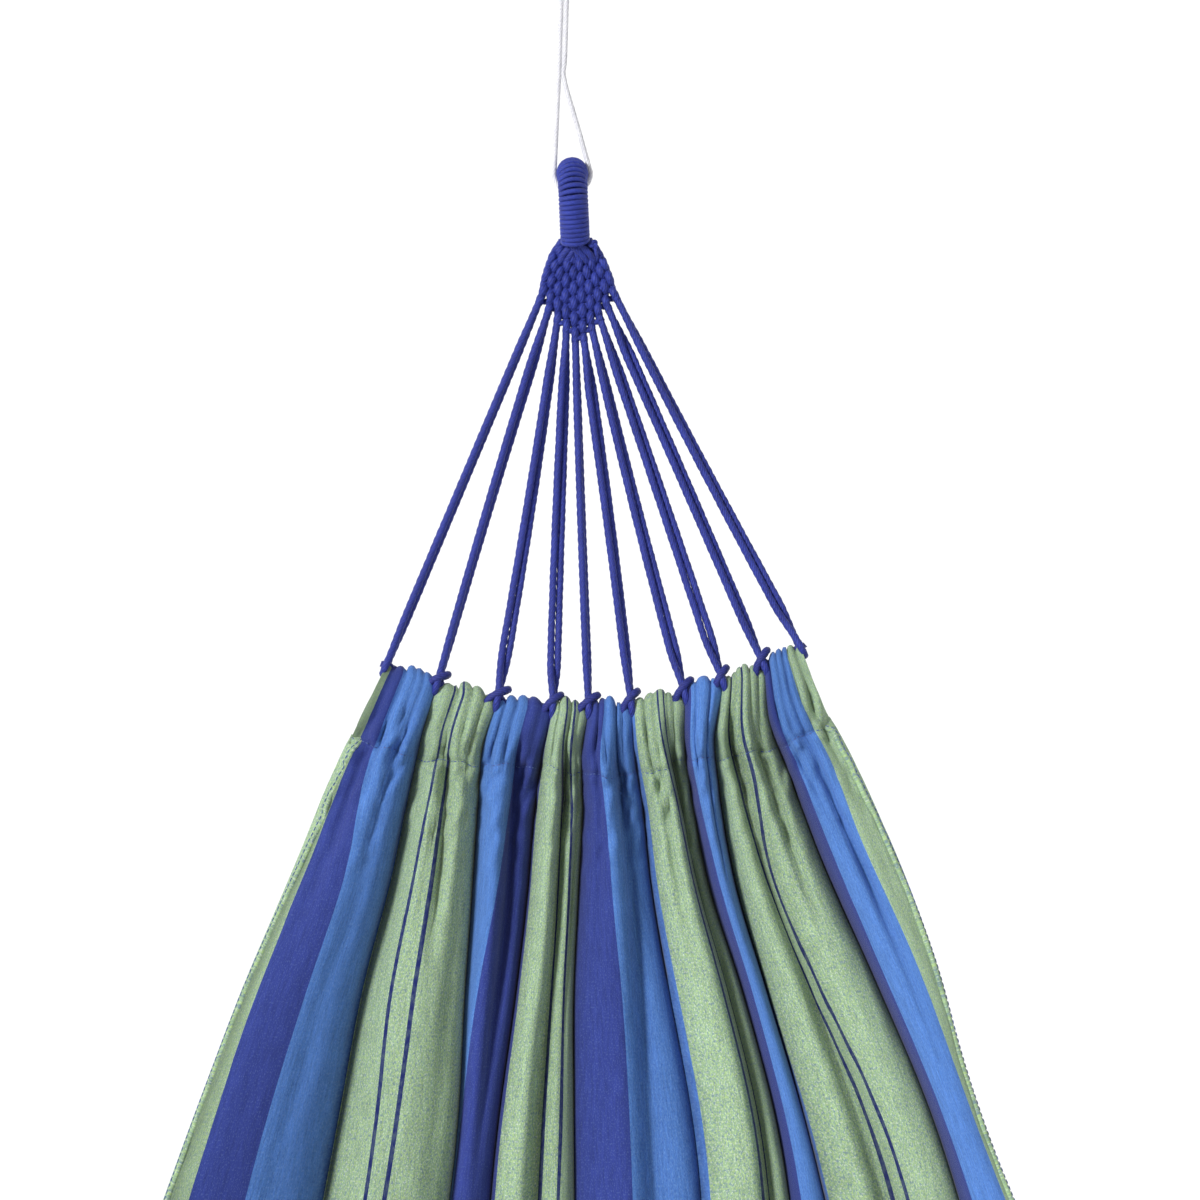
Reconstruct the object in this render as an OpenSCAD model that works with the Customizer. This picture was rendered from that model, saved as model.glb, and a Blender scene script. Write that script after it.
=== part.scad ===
// Cloth hammock with a rope harness at each end, slung between two points.
// Origin: the inside of the head hanging loop. +X runs to the foot, +Z is up.

/* [Cloth] */
// Length of the cloth between its two gathered ends
bed_l = 2000; // [1700:10:2400]
// Width of each gathered end
gather_w = 310; // [260:5:360]
// Width that the hung cloth gains at its middle
spread_w = 500; // [400:10:600]
// Rise of the long edges over the centre line at the middle
rim_h = 230; // [150:5:300]
// Thickness of the cloth
cloth_t = 3; // [2:0.5:5]
// Height of the main folds near the gathered ends
fold_h = 40; // [20:1:50]
// How far the corners of a gathered end reach towards the clew
corner_lift = 40; // [20:1:60]
// Depth of the rope tunnel, from its rope to its seam
tunnel_d = 45; // [35:1:60]
// Thickness of a side hem
side_hem_t = 5; // [4:0.5:7]

/* [Harness] */
// Angle of each harness below the horizontal
hang_angle = 30; // [25:1:35]
// Diameter of one suspension cord
cord_d = 5.2; // [4:0.1:6]
// Diameter of the header rope in the tunnel
header_d = 7; // [5:0.5:8]
// Distance from the mount to the middle of the gathered end
hem_d = 597; // [560:1:700]
// Length of the woven clew
clew_l = 79; // [70:1:85]
// Half width of the clew at its shoulders
clew_half_w = 27; // [24:1:30]
// Thickness of the clew
clew_t = 12; // [10:0.5:14]

/* [Eye and sling] */
// Distance from the mount to the top of the eye
eye_top_d = 195; // [180:1:210]
// Outer radius of the whipped bundle that forms the eye
eye_r = 11; // [9:0.5:12]
// Radius of the eye's crown, along the bundle's middle
crown_r = 19; // [18:0.5:22]
// Number of whipping turns on each eye
whipping_turns = 30; // [24:1:34]
// Diameter of the white sling rope
sling_d = 3.6; // [3:0.1:4]
// Radius of the ball that holds the sling knot
knot_r = 11; // [9:0.5:12]
// Distance from the mount to the middle of the sling knot
knot_d = 60; // [50:1:70]

/* [Hidden] */

// The bunches of cloth between the cords differ a little in width.
bunch_w = [36, 43, 40, 26, 31, 39, 28, 30, 27];
bunches = len(bunch_w);
function sum_to(list, k) = k == 0 ? 0 : list[k - 1] + sum_to(list, k - 1);
// Half of the side hem lies outside the first and last cord, as a share of the half width.
edge_share = 0.976;
cord_w = [for (i = [0:bunches])
    edge_share * (2 * sum_to(bunch_w, i) / sum_to(bunch_w, bunches) - 1)];

arc_r = bed_l * 180 / (2 * hang_angle * PI);
span = 2 * (hem_d * cos(hang_angle) + arc_r * sin(hang_angle));
arc_z = arc_r * cos(hang_angle) - hem_d * sin(hang_angle);
harness_up = [sin(hang_angle), 0, cos(hang_angle)];
fold_start = 60;
fold_fade = 350;
lift_fade = 400;
seam_s = tunnel_d + 2;
samples = 5;
along_steps = 32;

cord_r = cord_d / 2;
header_r = header_d / 2;
sling_r = sling_d / 2;
core_r = eye_r - 1.9;
crown_d = eye_top_d + eye_r + crown_r;
neck_d = crown_d + 33;
neck_n = 8;
clew_top_d = neck_d - 2;
clew_end_d = clew_top_d + clew_l;
cord_loop_r = header_r + cord_r + 0.8;
cord_turn = 25;
joint_gap = 0.4;
strand_y = sling_r + 0.2;
// The two strands of a sling part beside this point and lean a little to one side.
sling_join = [137, -5, 0];
arc_step = 12;
rope_sides = 12;

thread_col = [0.82, 0.84, 0.9];
blue_col = [0.2, 0.22, 0.55];
white_col = [0.93, 0.93, 0.94];
cloth_col = [0.62, 0.76, 0.58];
hem_col = [0.3, 0.48, 0.76];

// Places on the cloth. s runs along it from the head, w across it from -1 to 1, ridge is
// 0 in a valley and 1 on a fold, and n is the height over the middle of the cloth.
function fold_at(s) = (1 - exp(-max(0, s) / fold_start)) * exp(-s / fold_fade);
function cloth_point(s, w, ridge, n) =
    let (q = sin(180 * s / bed_l),
         rise = rim_h * pow(max(0, q), 1.3) * pow(abs(w), 2.2),
         lift = corner_lift * w * w * (exp(-s / lift_fade) - exp((s - bed_l) / lift_fade)),
         fold = fold_h * (fold_at(s) + fold_at(bed_l - s)) * (ridge - 0.5),
         phi = hang_angle * (1 - 2 * (s - lift) / bed_l),
         r = arc_r - rise - fold - n)
    [span / 2 - r * sin(phi), w * (gather_w + spread_w * max(0, q)) / 2, arc_z - r * cos(phi)];

// Place across the cloth, counted in bunches from the first cord.
function bunch_place(u) =
    let (k = min(bunches - 1, floor(u))) cord_w[k] + (u - k) * (cord_w[k + 1] - cord_w[k]);
function bunch_ridge(u) = pow(abs(sin(180 * u)), 0.8);
places = [for (k = [0:bunches * samples]) k / samples];

function unit(v) = v / norm(v);
function tangent(path, i) =
    unit(path[min(len(path) - 1, i + 1)] - path[max(0, i - 1)]);
// Rings of a round tube along a path; up is any direction that the path never takes.
function tube_rings(path, radii, sides, up) =
    [for (i = [0:len(path) - 1])
        let (t = tangent(path, i), a = unit(cross(t, up)), b = cross(a, t))
        [for (k = [0:sides - 1])
            path[i] + radii[i] * (a * cos(360 * k / sides) + b * sin(360 * k / sides))]];
function even(path, r) = [for (p = path) r];

// Triangles between neighbouring rings of a loft, each ring being a closed loop of n points.
function band_faces(rings, n, first = 0, flip = false) =
    [for (i = [0:rings - 2], k = [0:n - 1])
        let (a = first + i * n + k, b = first + i * n + (k + 1) % n)
        each flip ? [[a, b, b + n], [a, b + n, a + n]] : [[a, b + n, b], [a, a + n, b + n]]];
function ring_of(n, first) = [for (k = [0:n - 1]) first + k];
function reversed(list) = [for (i = [len(list) - 1:-1:0]) list[i]];

// A closed solid lofted through rings.
module loft(rings) {
    n = len(rings[0]);
    last = (len(rings) - 1) * n;
    polyhedron(
        points = [for (ring = rings) each ring],
        faces = concat(band_faces(len(rings), n),
                       [ring_of(n, 0), reversed(ring_of(n, last))]),
        convexity = 10);
}

// The same for a sheet, whose rings run along its top and back along its underside.
module sheet(rings) {
    n = len(rings[0]);
    last = (len(rings) - 1) * n;
    polyhedron(
        points = [for (ring = rings) each ring],
        faces = concat(
            band_faces(len(rings), n),
            [for (k = [0:n / 2 - 2]) let (a = k, b = n - 1 - k)
                each [[a, a + 1, b - 1], [a, b - 1, b]]],
            [for (k = [0:n / 2 - 2]) let (a = last + k, b = last + n - 1 - k)
                each [[a, b - 1, a + 1], [a, b, b - 1]]]),
        convexity = 10);
}

// A closed solid between outer rings and inner rings, open at both ends like a pipe.
module pipe(outer, inner) {
    n = len(outer[0]);
    count = len(outer) * n;
    last = count - n;
    polyhedron(
        points = concat([for (ring = outer) each ring], [for (ring = inner) each ring]),
        faces = concat(
            band_faces(len(outer), n),
            band_faces(len(inner), n, count, true),
            [for (k = [0:n - 1]) let (b = (k + 1) % n)
                each [[k, b, count + b], [k, count + b, count + k]]],
            [for (k = [0:n - 1]) let (a = last + k, b = last + (k + 1) % n)
                each [[a, count + b, b], [a, count + a, count + b]]]),
        convexity = 10);
}

module tube(path, r, sides, up) loft(tube_rings(path, even(path, r), sides, up));

// A round bar between two points.
module bar(from, to, r, fn = 24) {
    v = to - from;
    translate(from)
        rotate([0, acos(v.z / norm(v)), atan2(v.y, v.x)])
            cylinder(r = r, h = norm(v), $fn = fn);
}

// The harness frame: x runs from the mount to the cloth, y across, z up off the harness.
module harness() rotate([0, hang_angle, 0]) children();
module foot_end() translate([span, 0, 0]) mirror([1, 0, 0]) children();

// ---- Cloth ----
module bed_fabric() {
    s_list = [for (k = [0:along_steps]) tunnel_d + (bed_l - 2 * tunnel_d) * (1 - cos(180 * k / along_steps)) / 2];
    color(cloth_col)
        sheet([for (s = s_list) concat(
            [for (u = places) cloth_point(s, bunch_place(u), bunch_ridge(u), cloth_t / 2)],
            [for (u = reversed(places)) cloth_point(s, bunch_place(u), bunch_ridge(u), -cloth_t / 2)])]);
}

module side_hem(side) {
    s_list = [for (k = [0:along_steps]) tunnel_d + (bed_l - 2 * tunnel_d) * k / along_steps];
    corners = side > 0 ? [[edge_share, 1], [1, 1], [1, -1], [edge_share, -1]]
                       : [[1, 1], [edge_share, 1], [edge_share, -1], [1, -1]];
    color(cloth_col)
        loft([for (s = s_list)
            [for (c = corners) cloth_point(s, side * c[0], 0, c[1] * side_hem_t / 2)]]);
}

// Two lines of thread, one on each face of the side hem.
module side_stitching(side) {
    thread_r = 0.7;
    s_list = [for (k = [0:along_steps]) tunnel_d + (bed_l - 2 * tunnel_d) * k / along_steps];
    color(thread_col)
        for (face = [-1, 1])
            tube([for (s = s_list)
                    cloth_point(s, side * (edge_share + 0.006), 0, face * (side_hem_t + thread_r) / 2)],
                 thread_r, 4, [0, 1, 0]);
}

// The cloth's end folded over the header rope, as a puffed tunnel pinched at each cord.
module tunnel_hem() {
    wall = 2.2;
    pinch = header_r + 3.4;
    puff_n = 7;
    puff_s = 9;
    seam_t = cloth_t + 3;
    outer = [for (u = places)
        let (w = bunch_place(u), ridge = bunch_ridge(u),
             f = pinch + puff_n * ridge, top = -pinch - puff_s * ridge)
        [for (p = [[seam_s, seam_t / 2], [28, 0.8 * f], [8, f], [0.6 * top, 0.75 * f], [top, 0],
                   [0.6 * top, -0.75 * f], [8, -f], [28, -0.8 * f], [seam_s, -seam_t / 2]])
            cloth_point(p[0], w, ridge, p[1])]];
    inner = [for (u = places)
        let (w = bunch_place(u), ridge = bunch_ridge(u),
             f = pinch - wall + puff_n * ridge, top = wall - pinch - puff_s * ridge)
        [for (p = [[seam_s - 5, 0.5], [28, 0.8 * f], [8, f], [0.6 * top, 0.75 * f], [top, 0],
                   [0.6 * top, -0.75 * f], [8, -f], [28, -0.8 * f], [seam_s - 5, -0.5]])
            cloth_point(p[0], w, ridge, p[1])]];
    color(hem_col) pipe(outer, inner);
}

// The line of thread that closes the tunnel, on both faces.
module tunnel_stitching() {
    thread_r = 0.7;
    color(thread_col)
        for (face = [-1, 1])
            tube([for (u = places)
                    cloth_point(seam_s - 3, bunch_place(u), bunch_ridge(u), face * 4.6)],
                 thread_r, 4, harness_up);
}

// ---- Rope harness ----
module header_rope() {
    overhang = 8;
    ends = gather_w / 2 + overhang;
    color(blue_col)
        tube([for (k = [-18:18])
                cloth_point(0, k / 18 * ends / (gather_w / 2), 0, 0)],
             header_r, 8, harness_up);
}

// Middle of the header rope at cord i, and the point where that cord leaves the clew.
function header_at(i) = [hem_d - corner_lift * pow(cord_w[i], 2), cord_w[i] * gather_w / 2, 0];
function clew_at(i) =
    let (off = (i - bunches / 2) / (bunches / 2))
    [clew_end_d - 4 - 33 * abs(off), off * (clew_half_w + 1), 0];

// One doubled cord: a loop round the header rope and two strands up to the clew.
module cord(i) {
    foot = header_at(i);
    v = clew_at(i) - foot;
    angle = atan2(v.y, v.x);
    color(blue_col)
        translate(foot) rotate([0, 0, angle]) rotate([cord_turn, 0, 0]) {
            rotate([90, 0, 0]) rotate([0, 0, 90])
                rotate_extrude(angle = 180, $fn = 48)
                    translate([cord_loop_r, 0]) circle(cord_r, $fn = 24);
            for (side = [-1, 1]) {
                loop_end = [0, 0, side * cord_loop_r];
                bar(loop_end, loop_end + [norm(v), 0, 0], cord_r);
            }
        }
}

// The turn that the header rope takes round each cord, just above the tunnel.
module header_hitches() {
    turn_r = 2.2;
    color(blue_col)
        for (i = [0:bunches]) {
            v = clew_at(i) - header_at(i);
            translate(header_at(i) + unit(v) * 14 + [0, 2.5, 0])
                rotate([0, 0, atan2(v.y, v.x)]) rotate([0, 90, 0])
                    rotate_extrude($fn = 32)
                        translate([cord_loop_r + 0.5, 0]) circle(turn_r, $fn = 16);
        }
}

function clew_half(d) =
    let (t = (d - clew_top_d) / clew_l)
    t < 0.25 ? eye_r + (clew_half_w - 4 - eye_r) * t / 0.25 :
    t < 0.52 ? clew_half_w - 4 + 4 * (t - 0.25) / 0.27 :
    clew_half_w - (clew_half_w - 3) * (t - 0.52) / 0.48;

// The woven triangle: a slab whose faces rise and fall like basket weave.
module clew() {
    rows = 22;
    columns = 14;
    function height(i, k) = clew_t / 2 + ((i + k) % 2 == 0 ? 0.9 : -0.9);
    color(blue_col)
        harness()
            sheet([for (i = [0:rows])
                let (d = clew_top_d + clew_l * i / rows, half = clew_half(d))
                concat(
                    [for (k = [0:columns]) [d, half * (2 * k / columns - 1), height(i, k)]],
                    [for (k = [columns:-1:0]) [d, half * (2 * k / columns - 1), -height(i, k)]])]);
}

// ---- Eye ----
// Middle line of the eye's bundle: up one leg, over the crown and down the other leg.
function eye_path(steps) =
    concat([for (k = [0:steps]) [neck_d + (crown_d - neck_d) * k / steps, 0,
                                 neck_n + (crown_r - neck_n) * k / steps]],
           [for (k = [1:2 * steps - 1]) let (a = 90 * k / steps)
               [crown_d - crown_r * sin(a), 0, crown_r * cos(a)]],
           [for (k = [steps:-1:0]) [neck_d + (crown_d - neck_d) * k / steps, 0,
                                    -neck_n - (crown_r - neck_n) * k / steps]]);
eye_sides = 10;

module eye_core() {
    path = eye_path(5);
    color(blue_col) harness() tube(path, core_r, eye_sides, [0, 1, 0]);
}

module eye_whipping() {
    steps = whipping_turns / 2;
    path = eye_path(steps);
    radii = [for (i = [0:len(path) - 1]) i % 2 == 0 ? eye_r : eye_r - 0.9];
    color(blue_col)
        harness()
            pipe(tube_rings(path, radii, eye_sides, [0, 1, 0]),
                 tube_rings(path, even(path, core_r + 0.3), eye_sides, [0, 1, 0]));
}

// The knot that ends the whipping, with its short tail.
module whipping_knot() {
    color(blue_col)
        harness() {
            translate([neck_d + 2, eye_r + 2.2, neck_n + 3]) sphere(3, $fn = 24);
            bar([neck_d + 2, eye_r + 2.2, neck_n + 3], [neck_d + 10, eye_r + 4, neck_n + 2], 1.2, 16);
        }
}

// ---- Sling and hanger ----
// One rope from the knot, down one side of the eye, through it and back up.
module sling() {
    bend_r = eye_r + sling_r + 0.5;
    bend_at = [eye_top_d + eye_r, 0, 0];
    start = [knot_d + knot_r + joint_gap, 0, 0];
    apart = [0, strand_y, 0];
    arc = [for (a = [-90:arc_step:90]) bend_at + bend_r * [cos(a), sin(a), 0]];
    path = concat([start - apart, sling_join - apart], arc, [sling_join + apart, start + apart]);
    color(white_col) harness() tube(path, sling_r, rope_sides, [0, 0, 1]);
}

// The knot between sling and loop: turns of rope on a ball, all inside knot_r.
module sling_knot() {
    turn_r = sling_r + 0.2;
    color(white_col)
        harness()
            translate([knot_d, 0, 0]) {
                sphere(knot_r - turn_r, $fn = 48);
                for (tilt = [[0, 75, 0], [0, 105, 20], [60, 90, 0]])
                    rotate(tilt)
                        rotate_extrude($fn = 48)
                            translate([knot_r - turn_r - 0.1, 0]) circle(turn_r, $fn = 24);
            }
}

// The loop that goes over a hook; the hook bears on its inside, at the origin.
module hanging_loop() {
    bend_r = 9;
    bend_at = [bend_r - sling_r, 0, 0];
    color(white_col)
        harness() {
            translate(bend_at) rotate([0, 0, 90])
                rotate_extrude(angle = 180, $fn = 64) translate([bend_r, 0]) circle(sling_r, $fn = 24);
            for (side = [-1, 1])
                bar(bend_at + [0, side * bend_r, 0], [knot_d - knot_r + 3, side * strand_y, 0], sling_r);
        }
}

bed_fabric();
side_hem(-1);  // left_side_hem
side_hem(1);  // right_side_hem
side_stitching(-1);  // left_side_stitching
side_stitching(1);  // right_side_stitching
tunnel_hem();  // head_tunnel_hem
foot_end() tunnel_hem();  // foot_tunnel_hem
tunnel_stitching();  // head_tunnel_stitching
foot_end() tunnel_stitching();  // foot_tunnel_stitching
header_rope();  // head_header_rope
foot_end() header_rope();  // foot_header_rope
harness() header_hitches();  // head_header_hitches
foot_end() harness() header_hitches();  // foot_header_hitches
for (i = [0:bunches]) {
    harness() cord(i);
    foot_end() harness() cord(i);
}
clew();  // head_clew
foot_end() clew();  // foot_clew
eye_core();  // head_eye_core
foot_end() eye_core();  // foot_eye_core
eye_whipping();  // head_eye_whipping
foot_end() eye_whipping();  // foot_eye_whipping
whipping_knot();  // head_whipping_knot
foot_end() whipping_knot();  // foot_whipping_knot
sling();  // head_sling
foot_end() sling();  // foot_sling
sling_knot();  // head_sling_knot
foot_end() sling_knot();  // foot_sling_knot
hanging_loop();  // head_hanging_loop
foot_end() hanging_loop();  // foot_hanging_loop
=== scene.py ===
"""Looks of the cloth hammock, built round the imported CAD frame. Metres, +X to the foot, +Z up."""

import math

import bpy
import numpy as np
from mathutils import Matrix, Vector


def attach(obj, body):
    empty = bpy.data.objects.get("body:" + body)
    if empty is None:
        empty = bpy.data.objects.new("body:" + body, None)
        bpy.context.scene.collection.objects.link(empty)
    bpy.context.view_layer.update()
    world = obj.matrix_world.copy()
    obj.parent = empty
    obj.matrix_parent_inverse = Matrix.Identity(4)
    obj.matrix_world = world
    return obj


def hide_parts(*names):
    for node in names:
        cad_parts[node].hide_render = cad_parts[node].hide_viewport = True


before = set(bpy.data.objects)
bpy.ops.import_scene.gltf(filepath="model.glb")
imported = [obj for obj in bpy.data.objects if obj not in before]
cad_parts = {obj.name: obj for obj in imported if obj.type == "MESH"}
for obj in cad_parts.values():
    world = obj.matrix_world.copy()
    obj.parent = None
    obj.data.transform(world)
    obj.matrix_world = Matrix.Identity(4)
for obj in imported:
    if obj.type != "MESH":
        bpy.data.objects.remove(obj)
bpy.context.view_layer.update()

# ---------------------------------------------------------------- driving sizes, as in the CAD
BED_L = 2.0
GATHER_W = 0.310
SPREAD_W = 0.500
RIM_H = 0.230
CORNER_LIFT = 0.040
LIFT_FADE = 0.400
SEAM_S = 0.047
HANG = math.radians(30)
CORD_R = 0.0026
HEADER_R = 0.0035
HEM_D = 0.597
CLEW_L = 0.079
CLEW_HALF_W = 0.027
EYE_TOP_D = 0.195
EYE_R = 0.011
CROWN_R = 0.019
SLING_R = 0.0018
KNOT_R = 0.011
KNOT_D = 0.060
EDGE_SHARE = 0.976
BUNCH_W = np.array([36, 43, 40, 26, 31, 39, 28, 30, 27], float)
BUNCHES = len(BUNCH_W)
CORD_W = EDGE_SHARE * (2 * np.concatenate([[0], np.cumsum(BUNCH_W)]) / BUNCH_W.sum() - 1)

ARC_R = BED_L / (2 * HANG)
SPAN = 2 * (HEM_D * math.cos(HANG) + ARC_R * math.sin(HANG))
ARC_Z = ARC_R * math.cos(HANG) - HEM_D * math.sin(HANG)
CROWN_D = EYE_TOP_D + EYE_R + CROWN_R
NECK_D = CROWN_D + 0.033
NECK_N = 0.008
CLEW_TOP_D = NECK_D - 0.002
CLEW_END_D = CLEW_TOP_D + CLEW_L
STRAND_Y = SLING_R + 0.0002
SLING_JOIN = np.array([0.137, -0.005, 0.0])
CLOTH_T = 0.0011

rng = np.random.default_rng(11)


# ---------------------------------------------------------------- small tools
def smooth(x, a, b):
    t = np.clip((np.asarray(x, float) - a) / (b - a), 0, 1)
    return t * t * (3 - 2 * t)


def unit(v):
    v = np.asarray(v, float)
    return v / max(np.linalg.norm(v), 1e-12)


def through(x, knots, values):
    """Smooth curve through values at rising knots. values may have one column per curve."""
    x = np.clip(np.asarray(x, float), knots[0], knots[-1])
    k = np.asarray(knots, float)
    v = np.asarray(values, float)
    slope = np.gradient(v, k, axis=0)
    i = np.clip(np.searchsorted(k, x, side="right") - 1, 0, len(k) - 2)
    h = k[i + 1] - k[i]
    t = (x - k[i]) / h
    shape = (len(x),) + (1,) * (v.ndim - 1)
    t, h = t.reshape(shape), h.reshape(shape)
    return (
        (2 * t**3 - 3 * t**2 + 1) * v[i]
        + (t**3 - 2 * t**2 + t) * h * slope[i]
        + (3 * t**2 - 2 * t**3) * v[i + 1]
        + (t**3 - t**2) * h * slope[i + 1]
    )


def run_along(path):
    """Distance along a path to each of its points."""
    return np.concatenate([[0], np.cumsum(np.linalg.norm(np.diff(path, axis=0), axis=1))])


def at_run(at, run, values):
    """Three-part values known at distances run, at the distances at."""
    return np.stack([np.interp(at, run, values[:, c]) for c in range(3)], axis=1)


def spaced(path, step):
    """The path's points again, evenly spaced about step apart."""
    p = np.asarray(path, float)
    run = run_along(p)
    n = max(2, int(round(run[-1] / step)) + 1)
    return at_run(np.linspace(0, run[-1], n), run, p)


def spline(points, per):
    """Catmull-Rom curve through the points, with per steps between each two."""
    p = np.asarray(points, float)
    p = np.vstack([2 * p[0] - p[1], p, 2 * p[-1] - p[-2]])
    out = []
    for i in range(1, len(p) - 2):
        for t in np.linspace(0, 1, per, endpoint=False):
            out.append(
                0.5
                * (
                    2 * p[i]
                    + (p[i + 1] - p[i - 1]) * t
                    + (2 * p[i - 1] - 5 * p[i] + 4 * p[i + 1] - p[i + 2]) * t * t
                    + (3 * p[i] - p[i - 1] - 3 * p[i + 1] + p[i + 2]) * t**3
                )
            )
    out.append(p[-2])
    return np.array(out)


def harness(points, end="head"):
    """From (along the harness, across, off it) to the row frame, at either end."""
    p = np.atleast_2d(np.asarray(points, float))
    d, y, n = p[:, 0], p[:, 1], p[:, 2]
    x = d * math.cos(HANG) + n * math.sin(HANG)
    if end == "foot":
        x = SPAN - x
    return np.stack([x, y, -d * math.sin(HANG) + n * math.cos(HANG)], axis=1)


def linked(name, data):
    obj = bpy.data.objects.new(name, data)
    bpy.context.scene.collection.objects.link(obj)
    return obj


def new_object(name, verts, faces, uvs, material, flip=False):
    """A smooth-shaded mesh object. uvs has one tuple of coordinates per face, or is None."""
    mesh = bpy.data.meshes.new(name)
    if flip:
        faces = [tuple(reversed(f)) for f in faces]
        uvs = [tuple(reversed(u)) for u in uvs]
    mesh.from_pydata([tuple(v) for v in verts], [], [tuple(f) for f in faces])
    if uvs is not None:
        layer = mesh.uv_layers.new(name="lay")
        flat = np.array([c for face in uvs for c in face], np.float32)
        layer.data.foreach_set("uv", flat.ravel())
    mesh.polygons.foreach_set("use_smooth", np.ones(len(mesh.polygons), bool))
    mesh.update()
    mesh.materials.append(material)
    return linked(name, mesh)


def grid_of(shape, *values):
    """Values spread over a grid's shape."""
    return [np.broadcast_to(v, shape) for v in values]


def declare(obj, body, slot_name, *nodes):
    """What a piece rides on and the CAD nodes that it replaces; slot_name is not used."""
    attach(obj, body)
    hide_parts(*nodes)
    return obj


# ---------------------------------------------------------------- ropes
TAPER_SHARE = 0.25


def frames_along(path):
    """Two side directions at each point, carried along the path without twist."""
    t = np.gradient(path, axis=0)
    t /= np.linalg.norm(t, axis=1)[:, None]
    a = np.zeros_like(path)
    first = np.cross(t[0], [0, 0, 1.0])
    if np.linalg.norm(first) < 0.2:
        first = np.cross(t[0], [0, 1.0, 0])
    a[0] = unit(first)
    for i in range(1, len(path)):
        v = a[i - 1] - t[i] * (a[i - 1] @ t[i])
        a[i] = v / np.linalg.norm(v)
    return a, np.cross(t, a)


def rope_mesh(path, radius, step, sides=12, lobes=3, lay=0.019, depth=0.2, phase=0.0, taper=0.0):
    """Vertices, faces and coordinates of a laid rope: a lobed section that turns along its path.

    lay is the length of one turn, depth the grooves' share of the radius, and taper the length over
    which both ends narrow to TAPER_SHARE of the radius."""
    p = spaced(path, step)
    a, b = frames_along(p)
    run = run_along(p)
    theta = np.arange(sides) * 2 * math.pi / sides
    turn = 2 * math.pi * run / lay + phase
    lobe = np.abs(np.cos(lobes / 2 * (theta[None, :] - turn[:, None])))
    r = radius * (1 - depth + depth * lobe**0.8)
    if taper:
        full = smooth(np.minimum(run, run[-1] - run), 0, taper)[:, None]
        r = r * (TAPER_SHARE + (1 - TAPER_SHARE) * full)
    c, s = np.cos(theta)[None, :, None], np.sin(theta)[None, :, None]
    outward = c * a[:, None, :] + s * b[:, None, :]
    verts = (p[:, None, :] + r[..., None] * outward).reshape(-1, 3)
    faces, uvs = rope_faces(run, turn / (2 * math.pi), sides)
    return verts, faces, uvs


def rope_faces(run, turned, sides):
    """A rope's faces and coordinates: distance along it, and place round it less its turns."""
    faces, uvs = [], []
    for i in range(len(run) - 1):
        for k in range(sides):
            q = (k + 1) % sides
            faces.append((i * sides + k, (i + 1) * sides + k, (i + 1) * sides + q, i * sides + q))
            corners = ((i, k), (i + 1, k), (i + 1, k + 1), (i, k + 1))
            uvs.append(tuple((run[row], side / sides - turned[row]) for row, side in corners))
    faces.append(tuple(range(sides)))
    uvs.append(tuple((0.0, k / sides) for k in range(sides)))
    faces.append(tuple((len(run) - 1) * sides + k for k in reversed(range(sides))))
    uvs.append(tuple((run[-1], k / sides) for k in reversed(range(sides))))
    return faces, uvs


def join(parts):
    """Several (vertices, faces, coordinates) as one."""
    verts, faces, uvs, base = [], [], [], 0
    for v, f, u in parts:
        verts.append(v)
        faces += [tuple(i + base for i in face) for face in f]
        uvs += u
        base += len(v)
    return np.vstack(verts), faces, uvs


def end_piece(name, end, parts, material, slot_name, node, body="hammock"):
    """A piece made in harness coordinates, placed at one end of the hammock."""
    v, f, u = join(parts)
    obj = new_object(f"{end}_{name}", harness(v, end), f, u, material, flip=end == "foot")
    declare(obj, body, slot_name, f"{end}_{node}")


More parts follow.
